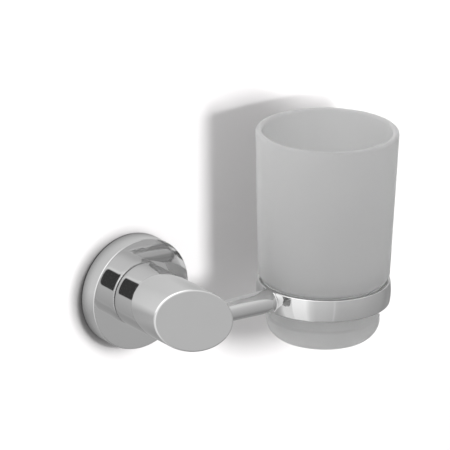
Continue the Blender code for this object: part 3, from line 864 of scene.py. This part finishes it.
class TUMBLERHOLDER_OT_tumbler(bpy.types.Operator):
    """The frosted glass, with its round lip, its shoulder over the ring and its swelling base"""

    bl_idname = "tumbler_holder.tumbler"
    bl_label = "Tumbler"

    def execute(self, context):
        steps = sizes().edge_steps
        lip = GLASS_WALL / 2
        seat = liner_high.z + GLASS_SEAT
        base_length = seat - foot_height
        foot_radius = BASE_RADIUS - BASE_ROUND
        foot_inner = foot_radius - FOOT_WIDTH
        floor = foot_height + GLASS_FLOOR
        floor_round = BASE_ROUND - GLASS_WALL
        inner_neck = NECK_RADIUS - GLASS_WALL
        inner_shoulder = (SHOULDER_RADIUS - GLASS_WALL, seat + SHOULDER_INSIDE * SHOULDER_ROUND)
        round_middle = (inner_neck - floor_round, floor + floor_round)
        shoulder_middle = (SHOULDER_RADIUS - SHOULDER_ROUND, seat + SHOULDER_ROUND)
        corner_middle = (NECK_RADIUS + NECK_CORNER, seat - NECK_CORNER)
        neck_end = (NECK_RADIUS, seat - base_length * NECK_SHARE)
        swell_end = (BASE_RADIUS, seat - base_length * SWELL_SHARE)
        points = [
            (0, floor),
            *arc(round_middle, floor_round, -QUARTER, 0, 2 * steps),
            *ramp((inner_neck, seat), inner_shoulder, 3 * steps),
            *arc((mouth_radius - lip, mouth_height - lip), lip, HALF, 0, 2 * steps),
            *arc(shoulder_middle, SHOULDER_ROUND, 0, -QUARTER, 2 * steps),
            *arc(corner_middle, NECK_CORNER, QUARTER, HALF, steps),
            *ramp(neck_end, swell_end, 2 * steps),
            *arc((foot_radius, foot_height + BASE_ROUND), BASE_ROUND, 0, -QUARTER, 3 * steps),
            (foot_inner, foot_height),
            (foot_inner - FOOT_RECESS, foot_height + FOOT_RECESS),
            (0, foot_height + FOOT_RECESS),
        ]
        piece = turned("frosted_tumbler", points, frosted_glass())
        settle(piece, RING_FRAME, frosted_glass())
        dress(piece, "glass", ["tumbler"])
        return {"FINISHED"}


def cut_thread(tree, given):
    """A helical thread: a ridge swept along a spiral, set up along local Z."""
    feeds = {
        "Resolution": 32,
        "Rotations": given["Turns"],
        "Height": given["Length"],
        "Start Radius": given["Start Radius"],
        "End Radius": given["End Radius"],
    }
    helix = add(tree, "GeometryNodeCurveSpiral", feeds)
    upright = add(tree, "GeometryNodeSetCurveNormal", {"Curve": helix.outputs[0]}, mode="Z_UP")
    ridge = add(tree, "GeometryNodeCurvePrimitiveCircle", {"Resolution": 3, "Radius": given["Ridge"]})
    feeds = {"Curve": upright.outputs[0], "Profile Curve": ridge.outputs[0], "Fill Caps": True}
    return add(tree, "GeometryNodeCurveToMesh", feeds).outputs[0]


class TUMBLERHOLDER_OT_wall_screws(bpy.types.Operator):
    """The two pan-head wall screws, with their thread and cross recess"""

    bl_idname = "tumbler_holder.wall_screws"
    bl_label = "Wall Screws"

    def execute(self, context):
        core = SCREW_RADIUS - sizes().thread_depth
        ridge = THREAD_RIDGE * sizes().thread_depth
        seat = PLATE_FLOOR + GAP
        tip = -SCREW_LENGTH
        dome = (SCREW_HEAD_RADIUS - SCREW_HEAD_HEIGHT, 0)
        labels = ("Turns", "Length", "Start Radius", "End Radius", "Ridge")
        tree = shape_tree("cut_thread", [(label, "Float") for label in labels], cut_thread)
        for side, x in SIDES:
            outline = [
                (0, tip),
                (SCREW_TIP_RADIUS, tip),
                (core, tip + SCREW_POINT),
                (core, -SCREW_SHANK[0]),
                (SCREW_RADIUS, -SCREW_SHANK[1]),
                (SCREW_RADIUS, 0),
                *arc(dome, SCREW_HEAD_HEIGHT, 0, QUARTER, 8),
                (0, SCREW_HEAD_HEIGHT),
            ]
            piece = turned(f"pan_head_screw_{side}", outline, plated_steel(), SMALL_STEPS)
            cross = cross_corners(CROSS_WIDTH, CROSS_SLOT)
            mouth = SCREW_HEAD_HEIGHT + OVERRUN
            recess = prism("recess", cross, mouth, SCREW_HEAD_HEIGHT - CROSS_DEPTH, CROSS_TAPER)
            cut_out(piece, [(recess, UNTURNED)])
            base = link("thread", bpy.data.meshes.new("thread"))
            values = {
                "Turns": THREAD_LENGTH / sizes().thread_pitch,
                "Length": THREAD_LENGTH,
                "Start Radius": THREAD_SPIRAL_START,
                "End Radius": SCREW_RADIUS - ridge,
                "Ridge": ridge,
                "Finish": plated_steel(),
            }
            grow(base, tree, values)
            shape_thread(base.data, tip + THREAD_TIP_GAP, core + THREAD_STAND)
            join(piece, base)
            settle(piece, WALL_FRAME @ at(x, 0, seat), plated_steel())
            dress(piece, "holder", [f"wall_screw_{side}"])
        return {"FINISHED"}


def shape_thread(mesh, start, full):
    """Lift a spiral to its start, and turn its even taper into a short cone and a straight run."""
    for vertex in mesh.vertices:
        flat = math.hypot(vertex.co.x, vertex.co.y)
        if flat > 0:
            along = vertex.co.z
            cone = THREAD_TIP_RADIUS + (full - THREAD_TIP_RADIUS) * along / THREAD_TAPER
            want = full if along > THREAD_TAPER else cone
            spiral = THREAD_SPIRAL_START + (full - THREAD_SPIRAL_START) * along / THREAD_LENGTH
            share = (flat + want - spiral) / flat
            vertex.co.x *= share
            vertex.co.y *= share
        vertex.co.z += start


def set_ribs(tree, given):
    """Set the same rib along local Z, evenly spaced."""
    feeds = {
        "Count": given["Count"],
        "Start Location": add(tree, "ShaderNodeCombineXYZ", {"Z": given["Start"]}).outputs[0],
        "Offset": add(tree, "ShaderNodeCombineXYZ", {"Z": given["Pitch"]}).outputs[0],
    }
    row = add(tree, "GeometryNodeMeshLine", feeds)
    feeds = {"Points": row.outputs[0], "Instance": given["Geometry"]}
    return add(tree, "GeometryNodeInstanceOnPoints", feeds).outputs[0]


class TUMBLERHOLDER_OT_wall_plugs(bpy.types.Operator):
    """The two nylon plugs, with a row of ribs and the split that lets them spread"""

    bl_idname = "tumbler_holder.wall_plugs"
    bl_label = "Wall Plugs"

    def execute(self, context):
        bore = SCREW_RADIUS + GAP
        core = PLUG_RADIUS - PLUG_WALL_STEP
        collar = -GAP - PLUG_COLLAR
        end = -GAP - PLUG_LENGTH
        thinner, nose = PLUG_NOSE
        sleeve = [
            (bore, -GAP),
            (PLUG_RADIUS, -GAP),
            (PLUG_RADIUS, collar),
            (core, collar - PLUG_COLLAR_SLOPE),
            (core, end + nose),
            (core - thinner, end),
            (bore, end),
        ]
        rib_outline = [(PLUG_RADIUS + out, height) for out, height in RIB]
        count = sizes().plug_ribs
        pitch = (PLUG_LENGTH - PLUG_COLLAR - RIBS_SPARE) / count
        values = {"Count": count, "Pitch": -pitch, "Start": collar - RIBS_START, "Finish": nylon()}
        inputs = (("Count", "Int"), ("Pitch", "Float"), ("Start", "Float"))
        tree = shape_tree("set_ribs", inputs, set_ribs)
        width, span = PLUG_SPLIT
        length = PLUG_LENGTH * PLUG_SPLIT_SHARE
        for side, x in SIDES:
            piece = turned(f"nylon_plug_{side}", sleeve, nylon(), SMALL_STEPS)
            rib = turned("rib", rib_outline, nylon(), SMALL_STEPS)
            grow(rib, tree, values)
            fuse(piece, rib)
            split = prism("split", box_corners(width, span), end - OVERRUN, end + length)
            cross_end = end + length * PLUG_CROSS_SHARE
            across = prism("split_across", box_corners(span, width), end - OVERRUN, cross_end)
            cut_out(piece, [(split, UNTURNED), (across, UNTURNED)])
            settle(piece, WALL_FRAME @ at(x, 0, 0), nylon())
            dress(piece, "holder", [f"wall_plug_{side}"])
        return {"FINISHED"}


class TUMBLERHOLDER_OT_inner_metal(bpy.types.Operator):
    """Finishes for the plate, bolt, washer, pins and set screws, whose solids stay"""

    bl_idname = "tumbler_holder.inner_metal"
    bl_label = "Inner Metal"

    def execute(self, context):
        for name in ("wall_plate", *STEEL_INSIDE):
            material = plated_steel() if name in STEEL_INSIDE else cast_zinc()
            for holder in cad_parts[name].material_slots:
                holder.material = material
        return {"FINISHED"}


# Stage

CAMERA_PLACE = (-1.2417, -1.7495, 0.8061)
CAMERA_YAW = math.radians(36.527)
CAMERA_PITCH = math.radians(19.856)
CAMERA_ROLL = math.radians(1.07)
CAMERA_LENS = 400
CAMERA_SENSOR = 36
CAMERA_CLIP = (0.05, 50)

AMBIENT = 0.79  # even light that the surfaces get from all round
# The key lamp gives the glass's shadow on the wall, and the wash lamp lights the wall above the glass
KEY_PLACE = (0.0428, -0.360, 0.0704)
KEY_AIM = (0.04, -0.04, 0.02)
KEY_RADIUS = 0.038
KEY_STRENGTH = 1.02
WASH_PLACE = (0.500, -0.300, 0.260)
WASH_AIM = (0.1614, 0, 0.1286)
WASH_RADIUS = 0.004
WASH_STRENGTH = 8.0
WASH_SPREAD = math.radians(14.0)

# What mirrors see of the studio: its brightness round the horizon, then how that changes with height
STUDIO_ROUND = (
    (-180, 0.85), (-120, 0.85), (-103, 0.95), (-94, 1.25), (-67, 1.25), (-59, 0.92), (-50, 0.78),
    (-34, 0.74), (-20.5, 0.69), (-18, 0.80), (-15.5, 0.66), (-9, 0.62), (30, 0.58), (54, 0.53),
    (78, 0.48), (96, 0.39), (112, 0.42), (140, 0.47), (180, 0.60),
)
STUDIO_HEIGHT = (
    (-90, 0.50), (-56, 0.66), (-40, 0.90), (-20, 1.00), (0, 1.13), (17, 1.30), (35, 1.70),
    (46, 1.80), (56, 1.60), (90, 1.50),
)
# A dark opening in the studio that only a mirror in a mirror shows: degrees round the straight-on
# view, degrees off it, softness, brightness
STUDIO_OPENING = ((-1, 61), (36.0, 47.0), 0.25, 0.09)
OPENING_SQUARENESS = 4.0  # 2 makes the opening an oval, more makes it squarer
STUDIO_TWICE = 0.2  # how much more a mirror in a mirror sees of the studio
WALL_TWICE = 0.4  # and how much brighter it sees the wall's painted glow

# Painted light: mirrors see the wall as a glow lit by no lamp, its brightness painted by height, then by
# how far along, in place of the wall's lighting and the glass's shadow on it
WALL_HEIGHT = (
    (-0.30, 0.50), (-0.080, 0.50), (-0.045, 0.42), (-0.025, 0.52), (-0.010, 0.50), (0.005, 0.80),
    (0.020, 0.81), (0.040, 0.85), (0.060, 0.90), (0.120, 1.00), (0.30, 1.00),
)
WALL_ALONG = (
    (-0.30, 2.0), (-0.12, 2.0), (-0.06, 1.3), (-0.02, 1.0), (0.018, 1.0), (0.045, 0.78),
    (0.10, 0.77), (0.30, 0.80),
)
WALL_SEEN = 0.64  # how light the camera sees the wall's paint
WALL_TINT = (1.0, 0.985, 0.99)
WALL_SPAN = 3
WALL_BEHIND = 0.0001  # the wall's place just behind the plate
TOUCHING = 0.0004  # the plate's back doesn't mirror the wall that it touches
WALL_FADES = (0.22, 0.32)  # the wall passes into the white round it
# Painted shade: the wall's colour is darkened near the pieces from an occlusion mask, not by the lamps
PAINTED_SHADE_REACH = 0.0105  # how far the painted shade in the corner between a piece and the wall goes
PAINTED_SHADE_LEAN = (0.70, -0.71, -0.02)  # that painted shade lies to the left of the pieces
PAINTED_SHADE_SEEN = (0.30, 0.90)  # the openness at which the painted shade goes from darkest to none, to the camera
PAINTED_SHADE_MIRRORED = (0.30, 0.85)  # and in mirrors
# how dark the painted shade is at its darkest, as a share of the wall's paint
PAINTED_SHADE_DARKEST = 0.26
PAINTED_SHADE_SAMPLES = 16


def set_camera():
    """A long lens, from the left front and above."""
    yaw, pitch, roll = CAMERA_YAW, CAMERA_PITCH, CAMERA_ROLL
    ahead = Vector((math.sin(yaw) * math.cos(pitch), math.cos(yaw) * math.cos(pitch), -math.sin(pitch)))
    right = Vector((math.cos(yaw), -math.sin(yaw), 0))
    up = right.cross(ahead)
    level = right * math.cos(roll) + up * math.sin(roll)
    upright = -right * math.sin(roll) + up * math.cos(roll)
    lens = bpy.data.cameras.new("view_camera")
    lens.sensor_width = CAMERA_SENSOR
    lens.lens = CAMERA_LENS
    lens.clip_start, lens.clip_end = CAMERA_CLIP
    camera = link("view_camera", lens)
    turn = Matrix((level, upright, -ahead)).transposed().to_4x4()
    camera.matrix_world = Matrix.Translation(CAMERA_PLACE) @ turn
    bpy.context.scene.camera = camera


def set_lamp(name, place, aim, size, strength, spread=None):
    """A soft lamp of the same strength at any distance: a white sheet facing it shows that strength."""
    lamp = bpy.data.lights.new(name, "SPOT" if spread else "POINT")
    lamp.energy = 1.0
    if spread:
        lamp.spot_size = spread
        lamp.spot_blend = 1.0
    lamp.shadow_soft_size = size
    lamp.use_nodes = True
    tree = lamp.node_tree
    even = add(tree, "ShaderNodeLightFalloff", {"Strength": strength * 4 * math.pi**2})
    tree.links.new(even.outputs["Constant"], tree.nodes["Emission"].inputs["Strength"])
    made = link(name, lamp)
    made.location = place
    made.rotation_euler = (Vector(place) - Vector(aim)).to_track_quat("Z", "Y").to_euler()
    made.visible_glossy = made.visible_camera = made.visible_transmission = False
    return made


def follow(tree, value, stops, top):
    """A value that follows stops, given as (at, brightness) pairs, with straight runs between."""
    first = stops[0][0]
    last = stops[-1][0]
    share = add(tree, "ShaderNodeMapRange", {"Value": value, "From Min": first, "From Max": last})
    line = add(tree, "ShaderNodeFloatCurve", {"Value": share.outputs["Result"]})
    curve = line.mapping.curves[0]
    places = [((at - first) / (last - first), bright / top) for at, bright in stops]
    curve.points[0].location = places[0]
    curve.points[1].location = places[-1]
    for place in places[1:-1]:
        curve.points.new(*place)
    for point in curve.points:
        point.handle_type = "VECTOR"
    line.mapping.update()
    return times(tree, line.outputs["Value"], top)


def off_middle(tree, value, low, high):
    """How far a value is from the middle of a span, 1 at its ends, raised for square corners."""
    shifted = work(tree, "SUBTRACT", value, (low + high) / 2)
    share = work(tree, "DIVIDE", shifted, (high - low) / 2)
    return work(tree, "POWER", work(tree, "ABSOLUTE", share), OPENING_SQUARENESS)


def degrees(tree, radians):
    """An angle in degrees."""
    return times(tree, radians, 180 / math.pi)


def twice_mirrored(tree, ray):
    """1 where a mirror is seen in a mirror, 0 elsewhere."""
    return work(tree, "GREATER_THAN", ray["Glossy Depth"], 1.5)


def raised(tree, value, where, gain):
    """A value that is higher by its gain where a mask is 1."""
    return times(tree, value, work(tree, "ADD", times(tree, where, gain), 1.0))


def set_world():
    """White to the camera, even soft light to the surfaces, and the studio to the mirrors."""
    world = bpy.data.worlds.new("studio")
    bpy.context.scene.world = world
    world.use_nodes = True
    tree = world.node_tree
    tree.nodes.clear()
    ray = add(tree, "ShaderNodeLightPath").outputs
    place = add(tree, "ShaderNodeTexCoord").outputs["Generated"]
    parts = add(tree, "ShaderNodeSeparateXYZ", {0: place}).outputs
    ahead = times(tree, parts["Y"], -1.0)
    leftward = times(tree, parts["X"], -1.0)
    azimuth = degrees(tree, work(tree, "ARCTAN2", parts["X"], ahead))
    elevation = degrees(tree, work(tree, "ARCSINE", parts["Z"]))
    around = follow(tree, azimuth, STUDIO_ROUND, 2.0)
    upward = follow(tree, elevation, STUDIO_HEIGHT, 2.0)
    twice = twice_mirrored(tree, ray)
    lit = raised(tree, times(tree, around, upward), twice, STUDIO_TWICE)
    (west, east), (low, high), soft, shade = STUDIO_OPENING
    across = off_middle(tree, degrees(tree, work(tree, "ARCTAN2", parts["Z"], leftward)), west, east)
    between = off_middle(tree, degrees(tree, work(tree, "ARCCOSINE", ahead)), low, high)
    outside = smooth_step(tree, work(tree, "ADD", across, between), 1 - soft, 1 + soft)
    inside = times(tree, work(tree, "SUBTRACT", 1.0, outside), twice)
    mirrored = blend(tree, inside, lit, shade)
    unseen = blend(tree, ray["Is Glossy Ray"], AMBIENT, mirrored)
    white = blend(tree, ray["Is Camera Ray"], unseen, 1.0)
    glow = add(tree, "ShaderNodeBackground", {"Color": white})
    add(tree, "ShaderNodeOutputWorld", {"Surface": glow.outputs[0]})


def contact(tree, **feeds):
    """How open the wall is beside the pieces, from 0 in a corner to 1 clear of them: the mask of the
    painted shade.
    """
    feeds = {"Distance": PAINTED_SHADE_REACH, **feeds}
    return add(tree, "ShaderNodeAmbientOcclusion", feeds, samples=PAINTED_SHADE_SAMPLES).outputs["AO"]


def wall_paint_and_painted_shade(tree, ray):
    """The wall as the camera sees it: painted shade beside the pieces, and plain paint to the light."""
    lean = add(tree, "ShaderNodeCombineXYZ", dict(enumerate(PAINTED_SHADE_LEAN)))
    clear = smooth_step(tree, contact(tree, Normal=lean.outputs[0]), *PAINTED_SHADE_SEEN)
    # painted shade: the paint is made darker where the wall is near a piece
    close = work(tree, "ADD", times(tree, clear, 1 - PAINTED_SHADE_DARKEST), PAINTED_SHADE_DARKEST)
    strength = times(tree, close, WALL_SEEN)
    channels = {index: times(tree, strength, share) for index, share in enumerate(WALL_TINT)}
    seen = add(tree, "ShaderNodeCombineColor", channels).outputs[0]
    shade = blend_colours(tree, ray["Is Camera Ray"], (*colours().wall, 1), seen)
    return add(tree, "ShaderNodeBsdfDiffuse", {"Color": shade}).outputs[0]


def wall_painted_glow(tree, ray, place):
    """The wall as mirrors see it: a painted glow, with painted light and shadow by place and painted shade
    beside the pieces.
    """
    parts = add(tree, "ShaderNodeSeparateXYZ", {0: place}).outputs
    height = follow(tree, parts["Z"], WALL_HEIGHT, 1.0)
    along = follow(tree, parts["X"], WALL_ALONG, 2.0)
    bright = raised(tree, times(tree, height, along), twice_mirrored(tree, ray), WALL_TWICE)
    painted_shade_in_mirrors = smooth_step(tree, contact(tree), *PAINTED_SHADE_MIRRORED)
    return add(tree, "ShaderNodeEmission", {"Strength": times(tree, bright, painted_shade_in_mirrors)}).outputs[0]


def wall_hidden(tree, ray, place):
    """1 where the wall isn't there: from behind, in what touches it, and far off to the camera."""
    touching = work(tree, "LESS_THAN", ray["Ray Length"], TOUCHING)
    span = add(tree, "ShaderNodeVectorMath", {0: place}, operation="LENGTH").outputs["Value"]
    faded = times(tree, smooth_step(tree, span, *WALL_FADES), ray["Is Camera Ray"])
    behind = add(tree, "ShaderNodeNewGeometry").outputs["Backfacing"]
    return work(tree, "MAXIMUM", behind, work(tree, "MAXIMUM", touching, faded))


def mix_shaders(tree, share, one, two):
    """One shader passing into another."""
    return add(tree, "ShaderNodeMixShader", {"Fac": share, 1: one, 2: two}).outputs[0]


def set_wall():
    """The painted wall: it keeps the object's shadow, has painted shade beside the pieces and a painted
    glow for mirrors, and isn't there from behind.
    """
    mesh = bpy.data.meshes.new("wall")
    corners = [
        (x * WALL_SPAN, WALL_BEHIND, z * WALL_SPAN) for x, z in ((-1, -1), (1, -1), (1, 1), (-1, 1))
    ]
    mesh.from_pydata(corners, [], [(0, 1, 2, 3)])
    wall = link("wall", mesh)
    wall.visible_shadow = False
    material = bpy.data.materials.new("painted_wall")
    material.use_nodes = True
    tree = material.node_tree
    tree.nodes.clear()
    ray = add(tree, "ShaderNodeLightPath").outputs
    place = add(tree, "ShaderNodeTexCoord").outputs["Object"]
    paint = wall_paint_and_painted_shade(tree, ray)
    both = mix_shaders(tree, ray["Is Glossy Ray"], paint, wall_painted_glow(tree, ray, place))
    clear = add(tree, "ShaderNodeBsdfTransparent").outputs[0]
    front = mix_shaders(tree, wall_hidden(tree, ray, place), both, clear)
    add(tree, "ShaderNodeOutputMaterial", {"Surface": front})
    wall.data.materials.append(material)
    return wall


class TUMBLERHOLDER_OT_stage(bpy.types.Operator):
    """The camera, the wall, the lamps and the studio"""

    bl_idname = "tumbler_holder.stage"
    bl_label = "Stage"

    def execute(self, context):
        context.scene.view_settings.view_transform = "Standard"
        set_camera()
        wall = set_wall()
        set_world()
        backdrop = bpy.data.collections.new("backdrop")
        backdrop.objects.link(wall)
        key = set_lamp("key_lamp", KEY_PLACE, KEY_AIM, KEY_RADIUS, KEY_STRENGTH)
        wash = set_lamp("wash_lamp", WASH_PLACE, WASH_AIM, WASH_RADIUS, WASH_STRENGTH, WASH_SPREAD)
        for lamp in (key, wash):
            lamp.light_linking.receiver_collection = backdrop
        return {"FINISHED"}


class TUMBLERHOLDER_PT_panel(bpy.types.Panel):
    """The holder's sizes, finishes and pieces"""

    bl_idname = "TUMBLERHOLDER_PT_panel"
    bl_label = "Tumbler Holder"
    bl_space_type = "VIEW_3D"
    bl_region_type = "UI"
    bl_category = "Tumbler Holder"

    def draw(self, context):
        layout = self.layout
        for group in (context.scene.tumbler_holder_sizes, context.scene.tumbler_holder_colours):
            for name in group.__annotations__:
                layout.prop(group, name)
        for operator in OPERATORS:
            layout.operator(operator.bl_idname)


OPERATORS = (
    TUMBLERHOLDER_OT_stage,
    TUMBLERHOLDER_OT_inner_metal,
    TUMBLERHOLDER_OT_wall_plugs,
    TUMBLERHOLDER_OT_wall_screws,
    TUMBLERHOLDER_OT_rosette,
    TUMBLERHOLDER_OT_post,
    TUMBLERHOLDER_OT_arm,
    TUMBLERHOLDER_OT_ring,
    TUMBLERHOLDER_OT_liner,
    TUMBLERHOLDER_OT_tumbler,
)
CLASSES = (TumblerHolderSizes, TumblerHolderColours, *OPERATORS, TUMBLERHOLDER_PT_panel)


def register():
    """Add the classes and the scene's settings."""
    for item in CLASSES:
        bpy.utils.register_class(item)
    bpy.types.Scene.tumbler_holder_sizes = bpy.props.PointerProperty(type=TumblerHolderSizes)
    bpy.types.Scene.tumbler_holder_colours = bpy.props.PointerProperty(type=TumblerHolderColours)


def unregister():
    """Take the classes and the scene's settings away."""
    del bpy.types.Scene.tumbler_holder_colours
    del bpy.types.Scene.tumbler_holder_sizes
    for item in reversed(CLASSES):
        bpy.utils.unregister_class(item)


def main():
    """Make the stage and every piece."""
    register()
    for operator in OPERATORS:
        getattr(bpy.ops.tumbler_holder, operator.bl_idname.split(".")[1])()


if __name__ == "__main__":
    main()
